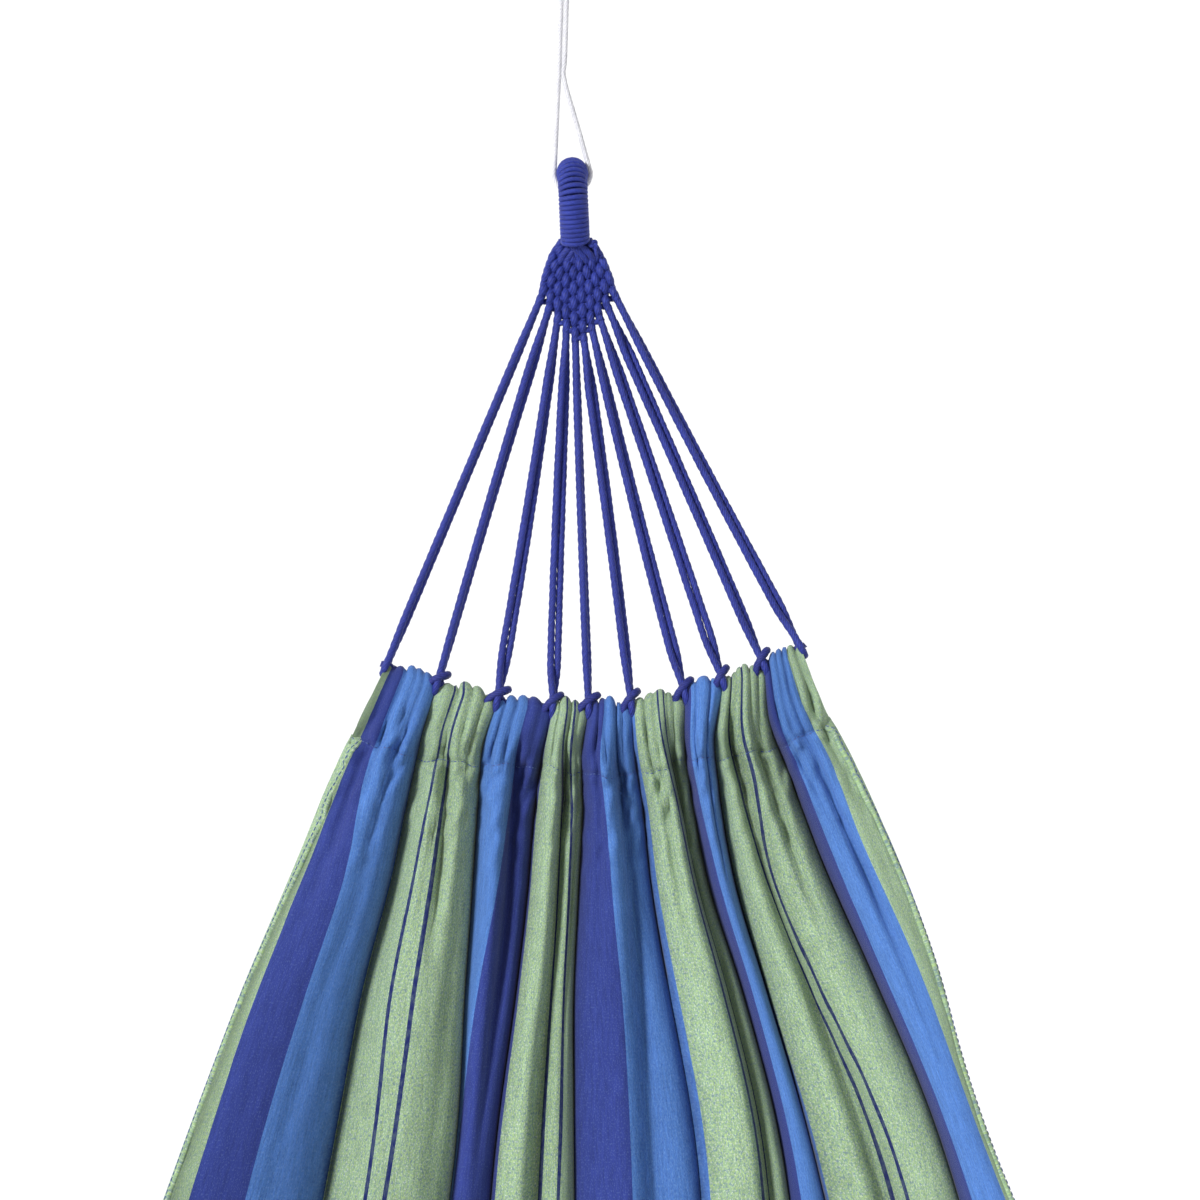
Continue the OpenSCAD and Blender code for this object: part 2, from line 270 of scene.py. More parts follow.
# ---------------------------------------------------------------- materials
class Nodes:
    """A short way to write a material's node tree."""

    def __init__(self, name):
        self.material = bpy.data.materials.new(name)
        self.material.use_nodes = True
        self.tree = self.material.node_tree
        self.shader = self.tree.nodes["Principled BSDF"]

    def add(self, kind, inputs=None, **props):
        node = self.tree.nodes.new(kind)
        for key, value in props.items():
            setattr(node, key, value)
        for key, value in (inputs or {}).items():
            self.put(node.inputs[key], value)
        return node

    def put(self, socket, value):
        if isinstance(value, bpy.types.NodeSocket):
            self.tree.links.new(value, socket)
        elif isinstance(value, bpy.types.Node):
            self.tree.links.new(value.outputs[0], socket)
        else:
            socket.default_value = value

    def math(self, operation, a, b=0.0, c=0.0):
        node = self.add("ShaderNodeMath", operation=operation)
        for socket, value in zip(node.inputs, (a, b, c)):
            self.put(socket, value)
        return node.outputs[0]

    def mix(self, share, a, b, blend="MIX"):
        node = self.add("ShaderNodeMix", data_type="RGBA", blend_type=blend)
        self.put(node.inputs["Factor"], share)
        self.put(node.inputs["A"], a)
        self.put(node.inputs["B"], b)
        return node.outputs["Result"]

    def noise(self, vector, scale, detail=3.0, rough=0.55):
        inputs = {"Vector": vector, "Scale": scale, "Detail": detail, "Roughness": rough}
        return self.add("ShaderNodeTexNoise", inputs).outputs["Fac"]

    def streaks(self, uv, per_u, per_v, detail=3.0, rough=0.55):
        """Noise with about this many changes in each unit of the two coordinates."""
        inputs = {0: uv, 1: (per_u, per_v, 1)}
        scaled = self.add("ShaderNodeVectorMath", inputs, operation="MULTIPLY")
        return self.noise(scaled.outputs[0], 1.0, detail, rough)

    def ramp(self, value, stops, kind="LINEAR"):
        node = self.add("ShaderNodeValToRGB", {"Fac": value})
        node.color_ramp.interpolation = kind
        while len(node.color_ramp.elements) < len(stops):
            node.color_ramp.elements.new(0.5)
        for element, (place, colour) in zip(node.color_ramp.elements, stops):
            element.position = place
            element.color = colour if len(colour) == 4 else (*colour, 1.0)
        return node.outputs["Color"]

    def grey(self, value, low, high, a, b):
        """The value brought from low..high to a..b, and held inside it."""
        inputs = {"Value": value, "From Min": low, "From Max": high, "To Min": a, "To Max": b}
        return self.add("ShaderNodeMapRange", inputs).outputs["Result"]

    def darken(self, colour, share):
        """The colour times a share."""
        grey = self.add("ShaderNodeCombineColor", {0: share, 1: share, 2: share})
        return self.mix(1.0, colour, grey, "MULTIPLY")

    def finish(self, colour, rough, height, distance, strength, sheen=0.0, specular=0.3):
        """Connects the shader. distance is the bump's height in metres."""
        self.put(self.shader.inputs["Base Color"], colour)
        self.put(self.shader.inputs["Roughness"], rough)
        self.shader.inputs["Specular IOR Level"].default_value = specular
        self.shader.inputs["Sheen Weight"].default_value = sheen
        self.shader.inputs["Sheen Roughness"].default_value = 0.5
        inputs = {"Height": height, "Distance": distance, "Strength": strength}
        self.put(self.shader.inputs["Normal"], self.add("ShaderNodeBump", inputs))
        return self.material


def srgb(r, g, b):
    """Scene-linear colour from 0-255 display values."""
    def one(c):
        c /= 255
        return c / 12.92 if c <= 0.04045 else ((c + 0.055) / 1.055) ** 2.4
    return (one(r), one(g), one(b), 1.0)


GREEN = srgb(153, 183, 146)
ROYAL = srgb(54, 68, 146)
MEDIUM = srgb(84, 131, 207)
NAVY = srgb(34, 44, 104)

# The cloth's stripes from its left edge, in millimetres of flat cloth: colour and width.
STRIPES = [
    (GREEN, 50), (ROYAL, 42), (MEDIUM, 60), (GREEN, 100), (MEDIUM, 58), (ROYAL, 43), (GREEN, 96),
    (ROYAL, 43), (MEDIUM, 59), (GREEN, 96), (ROYAL, 43), (MEDIUM, 59), (GREEN, 96), (ROYAL, 43),
    (MEDIUM, 62), (GREEN, 50),
]
EDGE_STRIPE = 50
# The two thin lines of each wide green stripe: their places in it, and half their width in metres.
PIN_SHARES = (0.36, 0.52)
PIN_HALF_W = 0.0017
THREAD_W = 0.0009


def stripe_edges():
    widths = np.array([w for _, w in STRIPES], float)
    return np.concatenate([[0], np.cumsum(widths)]) / widths.sum()


def per_stripe(m, place, value_of):
    """A colour ramp across the cloth that gives each stripe what value_of says of its colour."""
    stops = [(float(edge), value_of(colour)) for edge, (colour, _) in zip(stripe_edges(), STRIPES)]
    return m.ramp(place, stops, "CONSTANT")


def is_colour(m, place, wanted):
    """1 on the stripes of the wanted colour and 0 on the others."""
    return per_stripe(m, place, lambda colour: (1, 1, 1) if colour is wanted else (0, 0, 0))


def heathered(m, uv, place, colour):
    """Flecks of other yarns along the warp, strongest in the green."""
    long_fleck = m.streaks(uv, 980, 500, 2.0, 0.65)
    broad_fleck = m.streaks(uv, 860, 400, 2.5, 0.65)
    fine_fleck = m.streaks(uv, 1200, 620, 1.5, 0.6)
    green, medium = is_colour(m, place, GREEN), is_colour(m, place, MEDIUM)
    blue = m.math("SUBTRACT", 1.0, green)
    # Each layer's noise, the values it fades in between, greatest share, stripes and colour.
    layers = [
        (long_fleck, 0.48, 0.60, 0.85, green, srgb(182, 210, 140)),
        (broad_fleck, 0.50, 0.62, 0.90, green, srgb(122, 146, 158)),
        (fine_fleck, 0.54, 0.66, 0.75, green, srgb(210, 222, 204)),
        (fine_fleck, 0.52, 0.70, 0.16, blue, srgb(140, 168, 210)),
        (long_fleck, 0.50, 0.64, 0.34, medium, srgb(136, 178, 228)),
        (broad_fleck, 0.52, 0.64, 0.40, medium, srgb(54, 84, 172)),
    ]
    for noise, low, high, most, stripes, tint in layers:
        share = m.math("MULTIPLY", m.grey(noise, low, high, 0.0, most), stripes)
        colour = m.mix(share, colour, tint)
    return colour


def pinstripes(m, place):
    """1 on the thin navy lines of the wide green stripes."""
    lines = 0.0
    for (colour, width), start in zip(STRIPES, stripe_edges()):
        if colour is GREEN and width > EDGE_STRIPE:
            for share in PIN_SHARES:
                centre = float(start + share * width / 1000)
                off = m.math("ABSOLUTE", m.math("SUBTRACT", place, centre))
                lines = m.math("MAXIMUM", lines, m.math("LESS_THAN", off, PIN_HALF_W))
    return lines


def woven_height(m, across, along, fuzz, slub):
    """Height of the plain weave with its fuzz and its thick and thin yarns."""
    pitch = 2 * math.pi / THREAD_W
    warp = m.math("SINE", m.math("MULTIPLY", across, pitch))
    weft = m.math("SINE", m.math("MULTIPLY", along, pitch))
    cross = m.math("MULTIPLY", m.math("MULTIPLY", warp, weft), 0.5)
    height = m.math("ADD", cross, m.math("MULTIPLY", fuzz, 0.8))
    return m.math("ADD", height, m.math("MULTIPLY", slub, 1.5))


def cloth_material():
    m = Nodes("striped_cloth")
    uv = m.add("ShaderNodeUVMap", uv_map="lay").outputs["UV"]
    split = m.add("ShaderNodeSeparateXYZ", {0: uv})
    across, along = split.outputs["X"], split.outputs["Y"]
    wander = m.math("MULTIPLY_ADD", m.streaks(uv, 40, 6), 0.0016, -0.0008)
    place = m.math("ADD", across, wander)
    stripes = per_stripe(m, place, lambda colour: colour)
    slub = m.grey(m.streaks(uv, 500, 60), 0.3, 0.7, 0.82, 1.14)
    broad = m.grey(m.streaks(uv, 16, 5), 0.3, 0.7, 0.92, 1.05)
    shaded = m.darken(heathered(m, uv, place, stripes), m.math("MULTIPLY", slub, broad))
    worn = m.grey(m.streaks(uv, 300, 160, 2.0), 0.35, 0.6, 0.86, 1.0)
    lined = m.mix(m.math("MULTIPLY", pinstripes(m, place), worn), shaded, NAVY)
    # Painted shade: the cloth's colour is darkened by the shade share stored with the mesh, deep in
    # the folds, the valleys and the hem's gathers and on the left edge near both ends.
    painted_fold_shade = m.add("ShaderNodeAttribute", attribute_name="painted_fold_shade").outputs["Fac"]
    colour = m.darken(lined, m.math("MULTIPLY_ADD", painted_fold_shade, -0.58, 1.0))
    fuzz = m.streaks(uv, 1500, 1500, 2.0)
    height = woven_height(m, across, along, fuzz, slub)
    rough = m.grey(fuzz, 0.3, 0.7, 0.78, 0.95)
    return m.finish(colour, rough, height, 0.00025, 0.6, sheen=0.12, specular=0.15)


def rope_material(name, dark, light, yarns=9, rough=(0.5, 0.72)):
    """Laid rope: fine yarns that follow the strands, painted darker between them as shade and
    lighter on their crests.
    """
    m = Nodes(name)
    uv = m.add("ShaderNodeUVMap", uv_map="lay").outputs["UV"]
    split = m.add("ShaderNodeSeparateXYZ", {0: uv})
    along, around = split.outputs["X"], split.outputs["Y"]
    lean = m.math("MULTIPLY_ADD", along, 260.0, m.math("MULTIPLY", around, yarns * 2.0))
    yarn = m.math("SINE", m.math("MULTIPLY", lean, math.pi))
    mottled = m.streaks(uv, 700, 10)
    broad = m.streaks(uv, 30, 1.0, 2.0)
    # Painted shade and highlight: the yarn wave, which also makes the bump, darkens the grooves and
    # lightens the crests; the mottled and broad noise add the rope's own uneven tone.
    tone = m.math("ADD", m.math("MULTIPLY", yarn, 0.18), m.grey(mottled, 0.3, 0.7, 0.2, 0.8))
    tone = m.math("ADD", tone, m.grey(broad, 0.3, 0.7, -0.12, 0.12))
    colour = m.ramp(tone, [(0.1, dark), (0.9, light)])
    height = m.math("ADD", m.math("MULTIPLY", yarn, 0.6), m.math("MULTIPLY", mottled, 0.7))
    roughness = m.grey(mottled, 0.3, 0.7, *rough)
    return m.finish(colour, roughness, height, 0.00022, 0.7, sheen=0.08, specular=0.35)


def thread_material():
    m = Nodes("stitching_thread")
    at = m.add("ShaderNodeTexCoord").outputs["Object"]
    speck = m.noise(at, 900.0, 3.0)
    colour = m.ramp(speck, [(0.3, srgb(52, 68, 128)), (0.7, srgb(104, 124, 178))])
    return m.finish(colour, m.grey(speck, 0.3, 0.7, 0.5, 0.7), speck, 0.0001, 0.5)


def floor_material():
    m = Nodes("pale_floor")
    at = m.add("ShaderNodeTexCoord").outputs["Object"]
    tone = m.noise(at, 0.8, 3.0)
    colour = m.ramp(tone, [(0.3, (0.93, 0.93, 0.93)), (0.7, (0.95, 0.95, 0.95))])
    return m.finish(colour, 0.8, m.noise(at, 60.0), 0.0005, 0.1)


CLOTH = cloth_material()
CORD = rope_material("suspension_cord", srgb(25, 33, 106), srgb(54, 68, 168))
CLEW_CORD = rope_material("clew_cord", srgb(24, 33, 106), srgb(53, 69, 170))
WHIP_CORD = rope_material("whipping_cord", srgb(25, 34, 110), srgb(54, 72, 180), yarns=7)
HEADER = rope_material("header_rope", srgb(25, 31, 98), srgb(54, 64, 152))
SLING = rope_material("sling_rope", srgb(196, 196, 205), srgb(247, 247, 250), 6, (0.45, 0.65))
THREAD = thread_material()


# ---------------------------------------------------------------- camera, lights, floor
FLOOR_Z = -1.95
FLOOR_HALF = 70


def camera():
    """Square to the plane of the head harness, from its upper side, rolled a little."""
    lens, sensor = 85.0, 36.0
    view_w, view_d, view_y = 0.876, 0.518, 0.0066
    at = harness([[view_d, view_y, view_w * lens / sensor]])[0]
    down = Vector(harness([[0, 0, 1]])[0]) * -1
    roll = math.radians(2.5)
    toward_hook = Vector(harness([[-1, 0, 0]])[0])
    up = toward_hook * math.cos(roll) + Vector((0, 1, 0)) * math.sin(roll)
    right = down.cross(up).normalized()
    data = bpy.data.cameras.new("camera")
    data.lens, data.sensor_width = lens, sensor
    data.clip_start, data.clip_end = 0.05, 60
    cam = linked("camera", data)
    rot = Matrix((right, up, -down)).transposed().to_4x4()
    cam.matrix_world = Matrix.Translation(Vector(at)) @ rot
    bpy.context.scene.camera = cam


def sun(name, toward, power, softness):
    data = bpy.data.lights.new(name, "SUN")
    data.energy, data.angle = power, math.radians(softness)
    lamp = linked(name, data)
    lamp.rotation_euler = Vector(toward).to_track_quat("-Z", "Y").to_euler()


def studio():
    world = bpy.data.worlds.new("studio")
    bpy.context.scene.world = world
    world.use_nodes = True
    tree = world.node_tree
    # Pale walls near the horizon, dimmer overhead.
    toward = tree.nodes.new("ShaderNodeTexCoord")
    split = tree.nodes.new("ShaderNodeSeparateXYZ")
    level = tree.nodes.new("ShaderNodeMapRange")
    level.interpolation_type = "SMOOTHSTEP"
    for name, value in (("From Min", 0.06), ("From Max", 0.26), ("To Min", 1.0), ("To Max", 0.22)):
        level.inputs[name].default_value = value
    tree.links.new(toward.outputs["Generated"], split.inputs[0])
    tree.links.new(split.outputs["Z"], level.inputs["Value"])
    tree.links.new(level.outputs["Result"], tree.nodes["Background"].inputs["Color"])
    sun("key", -harness([[-0.3, -0.62, 0.72]])[0], 3.1, 14)
    sun("fill", (-0.3, -0.5, -1.0), 0.55, 60)
    corners = [(side_x * FLOOR_HALF, side_y * FLOOR_HALF, FLOOR_Z)
               for side_x, side_y in ((-1, -1), (1, -1), (1, 1), (-1, 1))]
    new_object("floor", corners, [(0, 1, 2, 3)], None, floor_material())
    bpy.context.scene.view_settings.view_transform = "Standard"


# ---------------------------------------------------------------- cloth
# The bunches' lie, from each gathered edge (0 m) to the middle of the bed (1 m). Every row is a
# distance along the cloth; its numbers run from the left edge to the right.
FLAT_EDGES = np.array([0, 152, 252, 353, 449, 551, 647, 749, 845, 1000]) / 1000.0
# Places of the valleys between bunches, as shares of the cloth's half width.
VALLEY_W = [
    (0.000, CORD_W),
    (0.035, [-1.01, -0.76, -0.50, -0.24, -0.07, 0.16, 0.38, 0.51, 0.75, 0.97]),
    (0.070, [-1.04, -0.76, -0.49, -0.26, -0.07, 0.17, 0.37, 0.48, 0.76, 0.99]),
    (0.130, [-1.06, -0.75, -0.47, -0.27, -0.09, 0.17, 0.37, 0.46, 0.77, 1.00]),
    (0.210, [-1.08, -0.755, -0.45, -0.29, -0.11, 0.19, 0.41, 0.48, 0.80, 0.98]),
    (0.280, [-1.08, -0.74, -0.43, -0.31, -0.11, 0.21, 0.43, 0.50, 0.82, 0.94]),
    (0.600, [-1.04, -0.71, -0.48, -0.30, -0.10, 0.14, 0.34, 0.50, 0.74, 0.97]),
    (1.000, 2 * FLAT_EDGES - 1),
]
# Height of the valleys and of the ridges between them, off the bed, in millimetres.
VALLEY_H = [
    (0.000, [-2, -6, -6, -6, -6, -6, -6, -6, -6, -2]),
    (0.050, [-8, -19, -19, -18, -17, -17, -18, -19, -18, -6]),
    (0.130, [-18, -27, -27, -24, -20, -23, -29, -26, -27, -10]),
    (0.280, [-24, -27, -30, -18, -16, -20, -30, -24, -26, -14]),
    (0.600, [-8, -10, -11, -9, -8, -8, -11, -10, -9, -6]),
    (1.000, [-1, -2, -2, -2, -2, -2, -2, -2, -2, -1]),
]
RIDGE_H = [
    (0.000, [3] * 9),
    (0.050, [9, 10, 9, 10, 10, 10, 9, 10, 9]),
    (0.130, [14, 13, 8, 12, 12, 13, 4, 13, 10]),
    (0.280, [15, 14, 2, 13, 11, 14, -6, 14, 9]),
    (0.600, [6, 7, 1, 6, 5, 7, -2, 7, 5]),
    (1.000, [1] * 9),
]
# How far each ridge leans towards the right, in millimetres.
LEAN = [
    (0.000, [0] * 9),
    (0.050, [1, 3, 1, 3, 2, 3, 1, 2, 1]),
    (0.130, [0, 6, 2, 4, 3, 4, 2, 5, 2]),
    (0.280, [-5, 9, 1, 5, 3, 5, 3, 7, 2]),
    (0.600, [-2, 4, -1, 2, 1, 2, 0, 2, 1]),
    (1.000, [0] * 9),
]
# Second folds within a bunch: its number, the fold's place in it at the stations, depth in
# millimetres, width as a share of the bunch and how far along the cloth it lasts.
FOLD_STATIONS = [0, 0.13, 0.28, 0.6]
FOLDS = [
    (0, (0.30, 0.26, 0.20, 0.2), 3, 0.05, 0.16), (0, (0.72, 0.74, 0.72, 0.7), 4, 0.10, 0.35),
    (1, (0.42, 0.50, 0.58, 0.6), 17, 0.085, 0.15), (1, (0.80, 0.76, 0.74, 0.7), 5, 0.08, 0.30),
    (2, (0.56, 0.60, 0.60, 0.6), 19, 0.15, 0.24), (3, (0.46, 0.49, 0.45, 0.5), 20, 0.15, 0.60),
    (3, (0.82, 0.80, 0.78, 0.7), 7, 0.06, 0.22), (4, (0.48, 0.66, 0.61, 0.6), 16, 0.15, 0.60),
    (4, (0.24, 0.24, 0.22, 0.2), 4, 0.07, 0.14), (5, (0.57, 0.70, 0.70, 0.6), 20, 0.11, 0.60),
    (5, (0.28, 0.32, 0.30, 0.3), 5, 0.08, 0.16), (7, (0.24, 0.29, 0.34, 0.45), 22, 0.13, 0.60),
    (7, (0.60, 0.62, 0.66, 0.7), 5, 0.06, 0.14), (8, (0.36, 0.42, 0.45, 0.5), 6, 0.08, 0.22),
]
# Places in each bunch, at the stations, that show the flat cloth's place given first: these bring
# each stripe to where its fold shows it.
STRIPE_STATIONS = [0, 0.05, 0.13, 0.21, 0.28, 0.7]
STRIPE_AT = {
    0: [(0.33, (0.10, 0.11, 0.12, 0.15, 0.17, 0.33)),
        (0.605, (0.32, 0.34, 0.53, 0.58, 0.57, 0.605))],
    1: [(0.36, (0.30, 0.28, 0.22, 0.22, 0.25, 0.36)), (0.52, (0.46, 0.44, 0.43, 0.44, 0.42, 0.52))],
    2: [(0.574, (0.52, 0.52, 0.40, 0.22, 0.10, 0.574))],
    3: [(0.36, (0.40, 0.44, 0.50, 0.53, 0.53, 0.36)), (0.54, (0.66, 0.72, 0.76, 0.79, 0.80, 0.54))],
    4: [(0.42, (0.35, 0.31, 0.40, 0.46, 0.44, 0.42))],
    5: [(0.36, (0.50, 0.56, 0.66, 0.66, 0.66, 0.36)), (0.52, (0.58, 0.63, 0.72, 0.73, 0.73, 0.52))],
    6: [(0.42, (0.14, 0.14, 0.28, 0.25, 0.22, 0.42))],
    7: [(0.36, (0.20, 0.22, 0.27, 0.32, 0.40, 0.36)), (0.52, (0.46, 0.48, 0.34, 0.39, 0.48, 0.52))],
    8: [(0.277, (0.14, 0.12, 0.12, 0.10, 0.11, 0.277)),
        (0.677, (0.58, 0.63, 0.56, 0.63, 0.73, 0.677))],
}
# Creases gathered into the hem: how many each bunch has; the rest is drawn from rng.
GATHERS = [4, 4, 4, 3, 4, 4, 2, 5, 5]
GATHER = [
    dict(
        at=np.sort((np.arange(n) + 1) / (n + 1) + rng.uniform(-0.06, 0.06, n)),
        deep=rng.uniform(6.0, 13.0, n),
        wide=rng.uniform(0.03, 0.075, n),
        reach=rng.uniform(0.05, 0.19, n),
        drift=rng.uniform(-0.7, 0.7, n),
    )
    for n in GATHERS
]
# Waves of the cloth and creases of the hem: changes across and along it, phase and height.
TURN = 2 * math.pi
CRUMPLE = [
    (rng.uniform(90, 320), rng.uniform(-70, 70), rng.uniform(0, TURN), rng.uniform(0.05, 0.16))
    for _ in range(18)
]
HEM_CRUMPLE = [
    (
        rng.uniform(90, 260),
        rng.choice([-1, 1]) * rng.uniform(120, 330),
        rng.uniform(0, TURN),
        rng.uniform(0.25, 0.6),
    )
    for _ in range(10)
]
COLUMNS_PER_BUNCH = 30


def from_end(s):
    return np.minimum(s, BED_L - np.asarray(s, float)).clip(0)


def two_ended(table, s):
    """A table's columns along the whole cloth: the same from either end."""
    return through(from_end(s), [k for k, _ in table], np.array([v for _, v in table], float))


def columns():
    """Bunch number and place in it for each column of the cloth, closest beside the valleys."""
    k = np.arange(BUNCHES * COLUMNS_PER_BUNCH + 1) / COLUMNS_PER_BUNCH
    j = np.minimum(k.astype(int), BUNCHES - 1)
    even = k - j
    return j, 0.35 * even + 0.65 * (1 - np.cos(math.pi * even)) / 2


# How round each bunch's section is, and which side it is highest on: under 1 is left of its middle.
ROUNDNESS = np.array([0.38, 0.44, 0.55, 0.60, 0.60, 0.60, 0.60, 0.58, 0.52])
SKEW = np.array([1.50, 1.12, 0.92, 0.80, 0.80, 0.80, 0.80, 0.78, 0.80])


def dome(j, t, s=0.0):
    """Section of a bunch: a round puff at the hem, steeper beside its valleys further in."""
    power = ROUNDNESS[j] + 0.22 * (1 - smooth(from_end(s), 0.04, 0.22))
    u = t ** SKEW[j]
    return np.maximum(4 * u * (1 - u), 0) ** power


def gathers(j, t, s):
    """How deep the hem's gathered creases cut, in millimetres: sharp lines between small puffs."""
    near = from_end(s)
    depth = np.zeros(np.broadcast(t, near).shape)
    for bunch, creases in enumerate(GATHER):
        here = j == bunch
        for at, deep, wide, reach, drift in zip(*creases.values()):
            inward = (drift + 3.2 * (0.5 - at)) * near * (1 - smooth(near, 0.1, 0.3))
            place = at + inward + 0.014 * np.sin(62 * near + 9 * at)
            strength = 1 - smooth(near, reach * 0.35, reach * 1.25)
            depth += np.where(here, deep * strength * np.exp(-np.abs(t - place) / wide), 0)
    return depth


def crumple(x, y):
    """Small uneven waves of the hung cloth, in millimetres."""
    total = 0
    for kx, ky, phase, high in CRUMPLE:
        total = total + high * np.sin(kx * x + ky * y + phase)
    return total


def hem_crumple(x, y):
    """Short sharp creases of the cloth bunched in the hem, in millimetres."""
    total = 0
    for kx, ky, phase, high in HEM_CRUMPLE:
        total = total + high * (0.64 - np.abs(np.sin((kx * x + ky * y + phase) / 2)))
    return total


def fold_depth(j, t, s):
    """How far the second folds sink the cloth, in millimetres."""
    near = from_end(s)
    depth = np.zeros_like(t)
    for bunch, places, deep, width, reach in FOLDS:
        place = through(near, FOLD_STATIONS, places)
        off = (t - place) / width
        # One flank is steep and the other is long, as where cloth laps over itself.
        shape = np.exp(-np.abs(off * np.where(off > 0, 0.75, 1.6)) ** 1.6)
        strength = smooth(near, 0.0, 0.06) * (1 - smooth(near, reach * 0.6, reach * 1.5))
        depth += np.where(j == bunch, deep * strength * shape, 0)
    return depth


def between(rows, j, t):
    """Each point's value between those of the valleys at the two sides of its bunch."""
    row = np.arange(len(t))
    return rows[row, j] * (1 - t) + rows[row, j + 1] * t


def fold_height(s, j, t, w, round_top):
    """How high the bunches and their folds and creases lift each point, in millimetres."""
    near = from_end(s)
    base = between(two_ended(VALLEY_H, s), j, t)
    ridge = two_ended(RIDGE_H, s)[np.arange(len(s)), j]
    height = base + (ridge - base) * round_top - fold_depth(j, t, s)
    height = height + (1.8 * (1 - smooth(near, 0.05, 0.2)) - gathers(j, t, s)) * round_top
    height = height + crumple(w / 2, s) * smooth(near, 0.0, 0.05)
    height = height + 3.4 * hem_crumple(w / 2, s) * (1 - smooth(near, 0.05, 0.15))
    long_wave = np.sin(9 * s + 1.7 * j + 3 * t) + 0.6 * np.sin(19 * s - 2.1 * j + 2 * t)
    return height + 0.9 * long_wave * smooth(near, 0.08, 0.3) * round_top


def cloth_points(s, j, t, n=0.0):
    """Points of the cloth: s along it, bunch j, place t in the bunch, and n off its middle."""
    shape = np.broadcast(s, j, t, n).shape
    s, j, t, n = (v.ravel() for v in grid_of(shape, s, j, t, n))
    inside = np.clip(s, 0, BED_L)
    w = between(two_ended(VALLEY_W, inside), j, t)
    lean = two_ended(LEAN, inside)[np.arange(len(s)), j]
    round_top = dome(j, t, inside)
    grow = smooth(from_end(inside), -0.01, 0.05)
    height = fold_height(inside, j, t, w, round_top) * grow
    q = np.sin(math.pi * inside / BED_L)
    half = (GATHER_W + SPREAD_W * q) / 2
    rise = RIM_H * q**1.3 * np.abs(w) ** 2.2
    lift = CORNER_LIFT * w**2 * (np.exp(-s / LIFT_FADE) - np.exp((s - BED_L) / LIFT_FADE))
    phi = HANG * (1 - 2 * (s - lift) / BED_L)
    r = ARC_R - rise - height / 1000 - n
    y = w * half + lean * round_top * grow / 1000
    out = np.stack([SPAN / 2 - r * np.sin(phi), y, ARC_Z - r * np.cos(phi)], axis=1)
    return out.reshape(shape + (3,))


def flat_place(s, j, t):
    """Place across the flat cloth, 0 to 1, that each point of the hung cloth comes from."""
    s, j, t = np.broadcast_arrays(np.asarray(s, float), j, np.asarray(t, float))
    share = t.copy()
    near = from_end(s)
    for bunch, marks in STRIPE_AT.items():
        here = j == bunch
        places = [np.zeros(here.sum())]
        shares = [0.0]
        for flat, row in marks:
            places.append(through(near[here], STRIPE_STATIONS, row))
            shares.append(flat)
        places.append(np.ones(here.sum()))
        shares.append(1.0)
        value = np.zeros(here.sum())
        for low, high, a, b in zip(places[:-1], places[1:], shares[:-1], shares[1:]):
            part = np.clip((t[here] - low) / (high - low), 0, 1)
            value += (b - a) * part
        share[here] = value
    return FLAT_EDGES[j] * (1 - share) + FLAT_EDGES[j + 1] * share


# The folded hem from the back seam over the rope to the front, in millimetres along the cloth and
# off it: where it is pressed flat between bunches, and where it is fullest.
TUNNEL_SHUT = [
    (47, -2.4), (38, -2.4), (26, -3.0), (16, -3.6), (9, -3.2), (5.5, 0), (9, 3.2), (16, 3.6),
    (26, 3.2), (38, 2.6), (43.5, 2.4), (46.5, 1.2), (50.5, 1.4), (55, 0.4),
]
TUNNEL_FULL = [
    (47, -2.4), (38, -7.0), (24, -10.5), (8, -11.0), (-5, -7.0), (-8.5, 0), (-5, 7.5), (8, 11.5),
    (24, 10.5), (37, 6.6), (43.5, 4.2), (46.5, 1.6), (50.5, 2.2), (55, 0.4),
]
TUNNEL_END = 0.055


def tunnel_grid(j, t):
    """The folded hem's rows of (along, off the cloth), in metres, for each column."""
    full_share = np.clip(dome(j, t) ** 0.85 * (1.08 - 0.045 * gathers(j, t, 0 * t)), 0, 1.1)
    beside_edge = np.where(j == 0, 1 - t, np.where(j == BUNCHES - 1, t, 0)) ** 2
    e = np.maximum(full_share, 0.6 * beside_edge)[:, None, None]
    rows = np.array(TUNNEL_SHUT, float)[None] * (1 - e) + np.array(TUNNEL_FULL, float)[None] * e
    knots = np.arange(rows.shape[1])
    fine = np.linspace(0, knots[-1], 3 * knots[-1] + 1)
    return np.stack([through(fine, knots, rows[:, :, part].T) for part in (0, 1)], axis=2) / 1000


# How far the seam lies off its line at each valley, in millimetres.
SEAM_OFF = [2, 3, -1, -4, 1, 3, -2, 2, 6, 3]


def seam_shift(j, t, s):
    """The uneven sewn seam: how far the cloth near it is drawn along, in metres."""
    place = np.asarray(j, float) + t
    off = through(np.ravel(place), np.arange(BUNCHES + 1), SEAM_OFF).reshape(np.shape(place))
    off = off + 1.3 * np.sin(7.3 * place) + 0.8 * np.sin(17.1 * place + 1)
    near = np.minimum(s, BED_L - s)
    sign = np.where(s < BED_L / 2, 1, -1)
    return sign * off / 1000 * smooth(near, 0.012, 0.040) * (1 - smooth(near, 0.055, 0.110))


